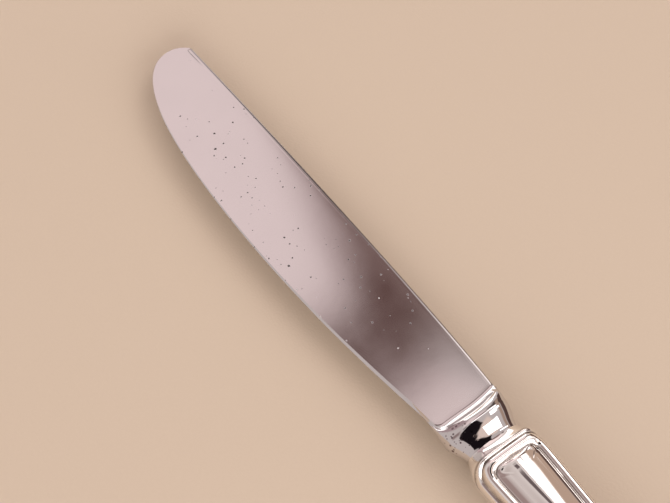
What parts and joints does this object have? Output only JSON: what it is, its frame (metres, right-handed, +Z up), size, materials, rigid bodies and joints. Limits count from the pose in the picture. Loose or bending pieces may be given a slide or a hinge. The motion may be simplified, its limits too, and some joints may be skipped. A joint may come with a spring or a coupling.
{
  "type": "table knife",
  "caption": "Table knife with a round-tipped polished blade, a waisted bolster and a hollow handle bordered by double threads.",
  "frame": {"origin": "on the table under the middle of the knife's bounding box", "axes": "+X towards the tip of the blade, +Y towards the cutting edge, +Z up from the table, with the knife lying on its reverse side"},
  "size_m": [0.24, 0.0226, 0.0122],
  "materials": {
    "blade_steel": "polished",
    "silver_plate": "polished",
    "silver_solder": "satin",
    "handle_cement": "matte"
  },
  "bodies": {
    "root": {"blade_forging": "blade_steel", "obverse_shell": "silver_plate", "reverse_shell": "silver_plate", "seam_solder": "silver_solder", "tang_cement": "handle_cement"}
  },
  "joints": []
}
